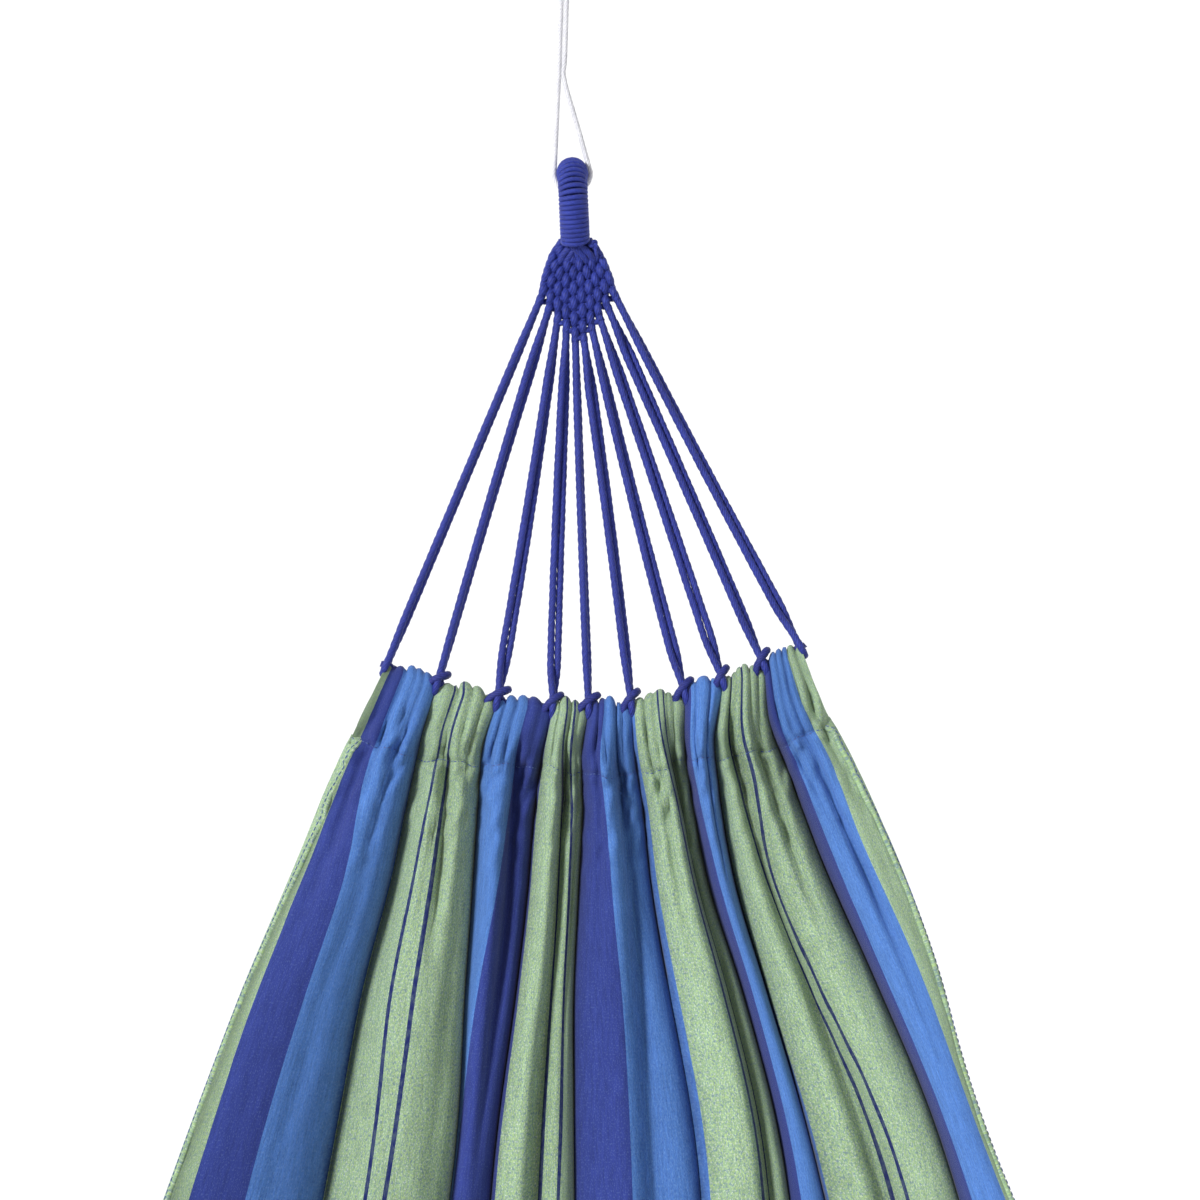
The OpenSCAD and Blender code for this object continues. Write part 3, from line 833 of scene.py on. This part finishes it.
def painted_fold_shade_share(j, t, s):
    """Painted shade, 0 to 1: how far each point lies down in a fold, a valley or a hem gather, and
    a band on the left edge near both ends; the cloth's colour is darkened there.
    """
    shape = s.shape
    s, j, t = (v.ravel() for v in (s, j, t))
    near = from_end(s)
    # Painted shade in the valleys between the bunches, weaker towards the middle of the bed, and in
    # the second folds and the hem's gathered creases.
    fade = smooth(near, -0.01, 0.05) * (1 - 0.8 * smooth(near, 0.4, 0.8))
    valleys = (1 - dome(j, t, s)) ** 1.5 * fade
    inner = ~(((j == 0) & (t < 0.5)) | ((j == BUNCHES - 1) & (t > 0.5)))
    # Painted shade on the left edge strip near both ends; the right edge has none.
    painted_left_edge_shade = 0.75 * (j == 0) * (1 - smooth(t, 0.07, 0.17)) * (1 - smooth(near, 0.35, 0.60))
    share = valleys * inner + painted_left_edge_shade + 0.6 * fold_depth(j, t, s) / 20 + 0.45 * gathers(j, t, s) / 12
    return np.clip(share, 0, 1).reshape(shape)


def cloth_grid():
    """The whole cloth as rows of points, with flat coordinates and painted fold shade, tunnels
    included.
    """
    j, t = columns()
    tunnel = tunnel_grid(j, t)
    bed = np.concatenate([
        np.linspace(TUNNEL_END, 0.34, 88)[1:],
        np.linspace(0.34, BED_L - 0.34, 66)[1:],
        np.linspace(BED_L - 0.34, BED_L - TUNNEL_END, 62)[1:-1],
    ])
    bed_s = np.broadcast_to(bed[:, None], (len(bed), len(j)))
    s = np.concatenate([tunnel[:, :, 0], bed_s, BED_L - tunnel[::-1, :, 0]])
    n = np.concatenate([tunnel[:, :, 1], np.zeros(bed_s.shape), tunnel[::-1, :, 1]])
    jj, tt = grid_of(s.shape, j, t)
    points = cloth_points(s + seam_shift(jj, tt, s), jj, tt, n)
    steps = np.linalg.norm(np.diff(points, axis=0), axis=2).mean(axis=1)
    flat_y = np.concatenate([[0], np.cumsum(steps)])[:, None]
    return points, flat_place(s, jj, tt), np.broadcast_to(flat_y, s.shape), painted_fold_shade_share(jj, tt, s)


def thicken(points, flat_x, flat_y, thick):
    """A closed sheet round a grid of points, with the flat cloth's coordinates."""
    rows, cols = points.shape[:2]
    du, dv = np.gradient(points, axis=0), np.gradient(points, axis=1)
    normal = np.cross(du, dv)
    normal /= np.linalg.norm(normal, axis=2)[..., None] + 1e-12
    top = points + normal * thick / 2
    under = points - normal * thick / 2
    verts = np.concatenate([top.reshape(-1, 3), under.reshape(-1, 3)])
    n = rows * cols
    flat = np.stack([flat_x.ravel(), flat_y.ravel()], axis=1)
    flat = np.concatenate([flat, flat])
    i, k = np.meshgrid(np.arange(rows - 1), np.arange(cols - 1), indexing="ij")
    a = (i * cols + k).ravel()
    quads = np.stack([a, a + cols, a + cols + 1, a + 1], axis=1)
    low = np.stack([a + n, a + n + 1, a + n + cols + 1, a + n + cols], axis=1)
    last = (rows - 1) * cols
    ends = [((k, k + 1), (last + k + 1, last + k)) for k in range(cols - 1)]
    sides = [((b + cols, b), (b + cols - 1, b + 2 * cols - 1)) for b in range(0, last, cols)]
    rim = [(p, q, n + q, n + p) for pair in ends + sides for p, q in pair]
    faces = np.concatenate([quads, low, np.array(rim)])
    return verts, faces, flat[faces]


def make_cloth():
    points, flat_x, flat_y, painted_fold_shade = cloth_grid()
    verts, faces, uvs = thicken(points, flat_x, flat_y, CLOTH_T)
    obj = new_object("striped_cloth", verts, faces.tolist(), uvs.tolist(), CLOTH)
    # The painted fold shade goes on the top face's vertices; the under face gets none.
    both_faces = np.concatenate([painted_fold_shade.ravel(), 0 * painted_fold_shade.ravel()]).astype(np.float32)
    obj.data.attributes.new("painted_fold_shade", "FLOAT", "POINT").data.foreach_set("value", both_faces)
    return declare(obj, "hammock", "bed_cloth", "bed_fabric", "head_tunnel_hem", "foot_tunnel_hem")


# A side hem's section, in metres into the cloth and off it.
HEM_PROFILE = [
    (-0.0012, 0.0), (-0.0004, 0.0016), (0.002, 0.0021), (0.006, 0.0020), (0.0092, 0.0019),
    (0.0100, 0.0006), (0.0100, -0.0006), (0.0092, -0.0019), (0.006, -0.0020), (0.002, -0.0021),
    (-0.0004, -0.0016),
]
HEM_INNER = 0.003  # beyond this the hem's inner edge wavers
HEM_STITCH = (0.0078, 0.0023)


def side_hem_lines(side):
    """Along a long edge: place, the edge's points, and the directions into the cloth and off it."""
    j = 0 if side < 0 else BUNCHES - 1
    t_edge = 0.0 if side < 0 else 1.0
    s = np.concatenate([
        np.linspace(0.048, 0.36, 90),
        np.linspace(0.36, 1.64, 70)[1:],
        np.linspace(1.64, 1.952, 60)[1:],
    ])
    edge = cloth_points(s, np.full(len(s), j), np.full(len(s), t_edge))
    into = cloth_points(s, np.full(len(s), j), np.full(len(s), t_edge - side * 0.03)) - edge
    into /= np.linalg.norm(into, axis=1)[:, None]
    along = np.gradient(edge, axis=0)
    along /= np.linalg.norm(along, axis=1)[:, None]
    return s, edge, into, np.cross(along, into) * side


def side_hem_faces(run, side):
    """Faces and flat coordinates of a side hem's rings."""
    n, m = len(run), len(HEM_PROFILE)
    base = 0.0 if side < 0 else 1.0
    faces, uvs = [], []
    for i in range(n - 1):
        for k in range(m):
            corners = ((i, k), (i, (k + 1) % m), (i + 1, (k + 1) % m), (i + 1, k))
            faces.append(tuple(row * m + c for row, c in corners))
            uvs.append(tuple((base - side * abs(HEM_PROFILE[c][0]), run[r]) for r, c in corners))
    faces.append(tuple(reversed(range(m))))
    uvs.append(tuple((base, 0.0) for _ in range(m)))
    faces.append(tuple((n - 1) * m + k for k in range(m)))
    uvs.append(tuple((base, run[-1]) for _ in range(m)))
    return faces, uvs


def make_side_hem(name, side):
    """The long edge folded twice, round the raw edge, and its two lines of stitching."""
    s, edge, into, up = side_hem_lines(side)
    wobble = (0.0005 * np.sin(s * 140) + 0.0004 * np.sin(s * 61 + 1))[:, None]
    rings = [edge + into * (a + wobble * (a > HEM_INNER)) + up * b for a, b in HEM_PROFILE]
    verts = np.stack(rings, axis=1).reshape(-1, 3)
    faces, uvs = side_hem_faces(run_along(edge), side)
    obj = new_object(f"{name}_hem_strip", verts, faces, uvs, CLOTH, flip=side > 0)
    line, off = edge + into * HEM_STITCH[0], up * HEM_STITCH[1]
    return declare(obj, "hammock", "hem_cloth", f"{name}_side_hem"), [line + off, line - off]


STITCH_STEP = 0.0009
STITCH_R = 0.00042
STITCH_POINTS, STITCH_GAP = 4, 1


def stitches(path):
    """A row of stitches: short threads that dip into the cloth at both ends."""
    p = spaced(path, STITCH_STEP)
    looks = dict(sides=6, lobes=2, lay=0.002, depth=0.12, taper=0.0012)
    return join([
        rope_mesh(p[i:i + STITCH_POINTS + 1], STITCH_R, STITCH_STEP * 1.5, **looks)
        for i in range(0, len(p) - STITCH_POINTS, STITCH_POINTS + STITCH_GAP)
    ])


def make_thread(name, lines, node):
    obj = new_object(name, *join([stitches(line) for line in lines]), THREAD)
    return declare(obj, "hammock", "thread", node)


def seam_lines(end):
    """The two lines of thread that close a rope tunnel, over and under the cloth."""
    fine = np.linspace(0, BUNCHES, 900)
    j = np.minimum(fine.astype(int), BUNCHES - 1)
    t = fine - j
    s = np.full(len(fine), SEAM_S if end == "head" else BED_L - SEAM_S)
    return [cloth_points(s + seam_shift(j, t, s), j, t, n) for n in (0.0022, -0.0032)]


# ---------------------------------------------------------------- harness
def header_at(i):
    """Where cord i meets the header rope."""
    return np.array([HEM_D - CORNER_LIFT * CORD_W[i] ** 2, CORD_W[i] * GATHER_W / 2, 0.0])


def fan(i):
    """A cord's place in the fan: -1 at the left, 1 at the right."""
    return (i - BUNCHES / 2) / (BUNCHES / 2)


def clew_at(i):
    """Where cord i leaves the clew."""
    return np.array([CLEW_END_D - 0.004 - 0.033 * abs(fan(i)), fan(i) * (CLEW_HALF_W + 0.001), 0.0])


# How far each doubled cord is turned about its own line, at the cloth and at the clew, in degrees.
CORD_TURN = [
    (24, 15), (12, 40), (78, 20), (88, 30), (20, 10),
    (32, 50), (72, 25), (86, 35), (38, 60), (66, 20),
]
CORD_LOOP_R = 0.0069


def cord_path(i):
    """One doubled cord: down from the clew, round the header rope and back up."""
    foot, top = header_at(i), clew_at(i)
    along = unit(top - foot)
    off_plane = np.array([0, 0, 1.0])
    beside = np.cross(off_plane, along)
    length = np.linalg.norm(top - foot)
    x = np.linspace(0, length, 110)
    share = x / length
    low, high = np.radians(CORD_TURN[i])
    angle = low * smooth(x, 0.004, 0.040) + (high - low) * share
    angle = angle * (1 - smooth(x, length - 0.045, length))
    touching = CORD_R * (1.01 + 0.05 * np.sin(23 * share + 2 * i) ** 2)
    apart = touching + (CORD_LOOP_R - CORD_R) * np.exp(-((x / 0.010) ** 1.5))
    bow = 0.0012 * np.sin(math.pi * share) * math.sin(2.3 * i)
    line = foot + np.outer(x, along) + np.outer(bow, beside)
    out = np.cos(angle)[:, None] * off_plane + np.sin(angle)[:, None] * beside
    one, two = line + out * apart[:, None], line - out * apart[:, None]
    turn = np.linspace(0, math.pi, 16)[1:-1]
    loop = foot + CORD_LOOP_R * (np.outer(-np.sin(turn), along) + np.outer(np.cos(turn), out[0]))
    return np.vstack([one[::-1], loop, two])


def make_cord(end, i):
    part = rope_mesh(cord_path(i), CORD_R * 1.05, 0.0018, phase=i)
    node = f"cord_{i + 1}"
    end_piece(f"{node}_rope", end, [part], CORD, "suspension_cord", node)


def header_path():
    """The rope through the hem, pulled up a little at every cord."""
    points = []
    for i in range(BUNCHES + 1):
        points.append(header_at(i))
        if i < BUNCHES:
            middle = (header_at(i) + header_at(i + 1)) / 2
            points.append(middle + [0.004, 0, 0])
    first, last = points[0] + [0.001, -0.002, 0], points[-1] + [0.001, 0.002, 0]
    return spline([first] + points + [last], per=8)


def make_header(end):
    part = rope_mesh(header_path(), HEADER_R, 0.0018, sides=15, lay=0.024)
    end_piece("header_twist", end, [part], HEADER, "header_rope", "header_rope")


# The header rope's hitch round a cord, in mm: to the right of the cord, up along it, off it.
HITCH = [
    (-9, -9, 0), (-7.5, -3, 3.6), (-4.5, 2.5, 6.4), (0, 6.5, 7.3), (4.4, 9.4, 5.4), (6.4, 9.8, 0.5),
    (4.8, 8.2, -4.6), (1, 5, -7), (3.5, 0, -7), (7, -5, -4), (9, -10, 0),
]
HITCH_R = 0.0027


def hitch_path(i):
    foot = header_at(i)
    along = unit(clew_at(i) - foot)
    right = np.cross(along, [0, 0, 1.0])
    right *= 1 + 0.12 * math.sin(3.1 * i + 1)
    off = np.array([0, 0, 1.0])
    return spline([foot + (right * a + along * b + off * c) / 1000 for a, b, c in HITCH], per=6)


def make_turns(end):
    parts = []
    for i in range(1, BUNCHES):
        parts.append(rope_mesh(hitch_path(i), HITCH_R, 0.0016, lay=0.017, phase=i))
    end_piece("header_turns", end, parts, HEADER, "header_rope", "header_hitches")


# Half width of the clew at distances from the mount, in metres.
CLEW_D = [0.256, 0.262, 0.270, 0.278, 0.287, 0.298, 0.336]
CLEW_W = [0.0098, 0.0146, 0.0188, 0.0218, 0.0248, 0.0272, 0.0276]
WEAVE_ROWS = 14


def strand_path(i, face):
    """One strand of the clew, which carries on a cord's front or back strand to the eye."""
    low, foot = clew_at(i), header_at(i)
    lean = (foot - low)[1] / (foot - low)[0]
    d = np.linspace(CLEW_TOP_D - 0.002, low[0] + 0.002, 100)
    y = fan(i) * through(d, CLEW_D, CLEW_W)
    straight = low[1] + lean * (d - low[0])
    close = 1 - smooth(low[0] - d, 0.0, 0.016)
    y = y * (1 - close) + straight * close
    row = (d - CLEW_TOP_D) * WEAVE_ROWS / CLEW_L
    fade = smooth(low[0] - d, 0.0, 0.006) * smooth(d, CLEW_TOP_D, CLEW_TOP_D + 0.012)
    wave = np.cos(math.pi * (row + i)) * fade
    n = face * (CORD_R * 1.01 + 0.0020 * wave)
    return np.stack([d, y, n], axis=1)


def weft_path(row):
    """A filling cord between the strands, hidden but for glimpses."""
    d = CLEW_TOP_D + (row + 0.5) * CLEW_L / WEAVE_ROWS
    reach = [i for i in range(BUNCHES + 1) if clew_at(i)[0] > d - 0.003]
    edge = float(through(np.array([d]), CLEW_D, CLEW_W)[0])
    y = np.linspace(edge * fan(reach[0]), edge * fan(reach[-1]), 60)
    place = y / edge * BUNCHES / 2 + BUNCHES / 2
    n = -0.0030 * np.cos(math.pi * (row + 0.5 + place))
    return np.stack([0 * y + d, y, n], axis=1)


def filler_path(i):
    """A strand behind the gap between two cords, which closes the weave."""
    stop = min(clew_at(i)[0], clew_at(i + 1)[0]) - 0.004
    d = np.linspace(CLEW_TOP_D, stop, 60)
    y = fan(i + 0.5) * through(d, CLEW_D, CLEW_W)
    row = (d - CLEW_TOP_D) * WEAVE_ROWS / CLEW_L
    n = 0.0016 * np.cos(math.pi * (row + i + 0.5))
    return np.stack([d, y, n], axis=1)


def clew_parts():
    parts = []
    for i in range(BUNCHES):
        parts.append(rope_mesh(filler_path(i), CORD_R * 1.1, 0.0016, phase=i, taper=0.004))
    for i in range(BUNCHES + 1):
        for face in (1, -1):
            strand = strand_path(i, face)
            parts.append(rope_mesh(strand, CORD_R * 1.16, 0.0014, phase=i * 1.3 + face))
    for row in range(1, WEAVE_ROWS - 1):
        parts.append(rope_mesh(weft_path(row), CORD_R * 0.9, 0.0016, sides=10, phase=row))
    return parts


def make_clew(end):
    end_piece("clew_weave", end, clew_parts(), CLEW_CORD, "clew_cord", "clew")


def eye_line():
    """Middle line of the eye's bundle, up one leg, over the crown and down the other."""
    leg = np.linspace(0, 1, 30)[:-1]
    off = CROWN_R - (CROWN_R - NECK_N) * (1 - leg) ** 1.6
    up = np.stack([NECK_D + (CROWN_D - NECK_D) * leg, 0 * leg, off], axis=1)
    a = np.linspace(0, math.pi, 60)
    crown = np.stack([CROWN_D - CROWN_R * np.sin(a), 0 * a, CROWN_R * np.cos(a)], axis=1)
    down = up[::-1] * np.array([1, 1, -1])
    return spaced(np.vstack([up, crown, down]), 0.0009)


def wound(path, radius, pitch, swell):
    """A helix wound round a path, wider by swell at the path's middle."""
    a, b = frames_along(path)
    run = run_along(path)
    turns = run[-1] / pitch
    at = np.linspace(0, run[-1], int(turns * 28))
    angle = 2 * math.pi * at / pitch
    radius = radius + swell * smooth(1 - np.abs(2 * at / run[-1] - 1), 0.72, 0.86)[:, None]
    p, a, b = (at_run(at, run, values) for values in (path, a, b))
    return p + radius * (np.cos(angle)[:, None] * a + np.sin(angle)[:, None] * b)


WHIP_PITCH = 0.0031
WHIP_R = 0.0019


def make_whipping(end):
    path = wound(eye_line(), EYE_R - WHIP_R, WHIP_PITCH, swell=0.0008)
    part = rope_mesh(path, WHIP_R, 0.0018, sides=10, lay=0.010, depth=0.16)
    end_piece("whipping_turns", end, [part], WHIP_CORD, "whipping_cord", "eye_whipping")


BUNDLE_R = 0.0052


def bundle_path(k):
    """Cord k of the seven inside the eye, with both its ends fanned into the clew."""
    line = eye_line()
    a, b = frames_along(line)
    r, angle = (BUNDLE_R, (k - 1) * math.pi / 3) if k else (0, 0)
    core = line + r * (math.cos(angle) * a + math.sin(angle) * b)
    spread = (k - 3) / 3
    tails = []
    for side, start in ((1, core[0]), (-1, core[-1])):
        finish = np.array([NECK_D + 0.014, spread * 0.013, side * 0.003])
        middle = (start + finish) / 2 + np.array([0, spread * 0.002, side * 0.001])
        tails.append(spline([finish, middle, start], per=8))
    return np.vstack([tails[0], core[1:-1], tails[1][::-1]])


def make_bundle(end):
    """The cords inside the eye, which come out below the whipping into the clew."""
    parts = [rope_mesh(bundle_path(k), CORD_R, 0.0022, sides=10, phase=k) for k in range(7)]
    end_piece("eye_bundle", end, parts, CLEW_CORD, "clew_cord", "eye_core")


def trefoil(points):
    """Two coordinates of a trefoil knot seen flat, and the third across it."""
    t = np.linspace(0, 2 * math.pi, points)
    return np.sin(t) + 2 * np.sin(2 * t), np.cos(t) - 2 * np.cos(2 * t), -np.sin(3 * t)


def make_end_knot(end):
    """The whipping's end, knotted beside the neck with a short tail."""
    c = np.array([NECK_D + 0.002, EYE_R + 0.0022, NECK_N + 0.003])
    knot = np.stack(trefoil(60), axis=1) * 0.00095
    tail = [c + [0, -0.004, -0.001], c, c + [0.004, 0.0012, 0], c + [0.008, 0.0018, -0.001]]
    parts = [
        rope_mesh(knot + c, 0.0013, 0.0009, sides=8, lay=0.008),
        rope_mesh(spline(tail, per=6), 0.0012, 0.001, sides=8, lay=0.008),
    ]
    end_piece("whipping_end", end, parts, WHIP_CORD, "whipping_cord", "whipping_knot")


# Length of one turn of the sling rope, and the step of its mesh.
SLING_LAY = 0.013
SLING_STEP = 0.0013
KNOT_STEP = 0.0011
LOOP_BTAPER_SHARE = 0.009


def bend_round(centre, radius, first, last, points):
    """An arc of rope in the plane of the harness."""
    a = np.linspace(first, last, points)
    return centre + np.stack([radius * np.cos(a), radius * np.sin(a), 0 * a], axis=1)


def sling_leg(top, side):
    """One strand of the sling, from the bend round the eye to the knot."""
    start = np.array([KNOT_D + KNOT_R + 0.0004, side * STRAND_Y, 0])
    join_at = SLING_JOIN + [0, side * STRAND_Y, 0]
    near_knot = join_at * [0.75, 0.75, 1] + start * [0.25, 0.25, 1]
    return spline([top, 0.5 * (join_at + top), join_at, near_knot, start], per=14)


def make_sling(end):
    eye_top = np.array([EYE_TOP_D + EYE_R, 0, 0])
    arc = bend_round(eye_top, EYE_R + SLING_R + 0.0005, -math.pi / 2, math.pi / 2, 40)
    path = np.vstack([sling_leg(arc[0], -1)[::-1], arc[1:-1], sling_leg(arc[-1], 1)])
    part = rope_mesh(path, SLING_R * 1.05, SLING_STEP, lay=SLING_LAY, depth=0.16)
    end_piece("sling_strand", end, [part], SLING, "sling_rope", "sling")


def make_knot(end):
    """The knot that joins sling and loop: turns of rope round the two strands."""
    y, n, across = trefoil(160)
    c = np.array([KNOT_D, 0, 0])
    turns = np.stack([across * 1.6, y, n], axis=1) * ((KNOT_R - 0.0021) / 3.0)
    parts = [rope_mesh(turns + c, 0.0021, KNOT_STEP, lay=SLING_LAY)]
    for side in (-1, 1):
        strand = [c + [x, side * STRAND_Y, 0] for x in np.linspace(-0.0085, 0.0085, 12)]
        parts.append(rope_mesh(strand, 0.0024, KNOT_STEP, lay=SLING_LAY, phase=side))
    end_piece("knot", end, parts, SLING, "sling_rope", "sling_knot", "hangers")


def make_loop(end):
    """The loop that the hook holds, open at the origin."""
    centre = np.array([LOOP_BTAPER_SHARE - SLING_R, 0, 0])
    arc = bend_round(centre, LOOP_BTAPER_SHARE, math.pi / 2, 3 * math.pi / 2, 30)
    low = KNOT_D - KNOT_R + 0.003
    legs = []
    for side, top in ((1, arc[0]), (-1, arc[-1])):
        legs.append(spline([[low, side * STRAND_Y, 0], [0.028, side * 0.0068, 0], top], per=14))
    path = np.vstack([legs[0], arc[1:-1], legs[1][::-1]])
    part = rope_mesh(path, SLING_R * 1.03, SLING_STEP, lay=SLING_LAY, depth=0.16)
    end_piece("hook_loop", end, [part], SLING, "sling_rope", "hanging_loop", "hangers")


# ---------------------------------------------------------------- assembly
camera()
studio()
cloth = make_cloth()
hems, threads = [], []
for side, name in ((-1, "left"), (1, "right")):
    hem, lines = make_side_hem(name, side)
    hems.append(hem)
    threads.append(make_thread(f"{name}_edge_stitches", lines, f"{name}_side_stitching"))
for end in ("head", "foot"):
    threads.append(make_thread(f"{end}_seam_stitches", seam_lines(end), f"{end}_tunnel_stitching"))
    make_header(end)
    make_turns(end)
    for i in range(BUNCHES + 1):
        make_cord(end, i)
    make_clew(end)
    make_bundle(end)
    make_whipping(end)
    make_end_knot(end)
    make_sling(end)
    make_knot(end)
    make_loop(end)
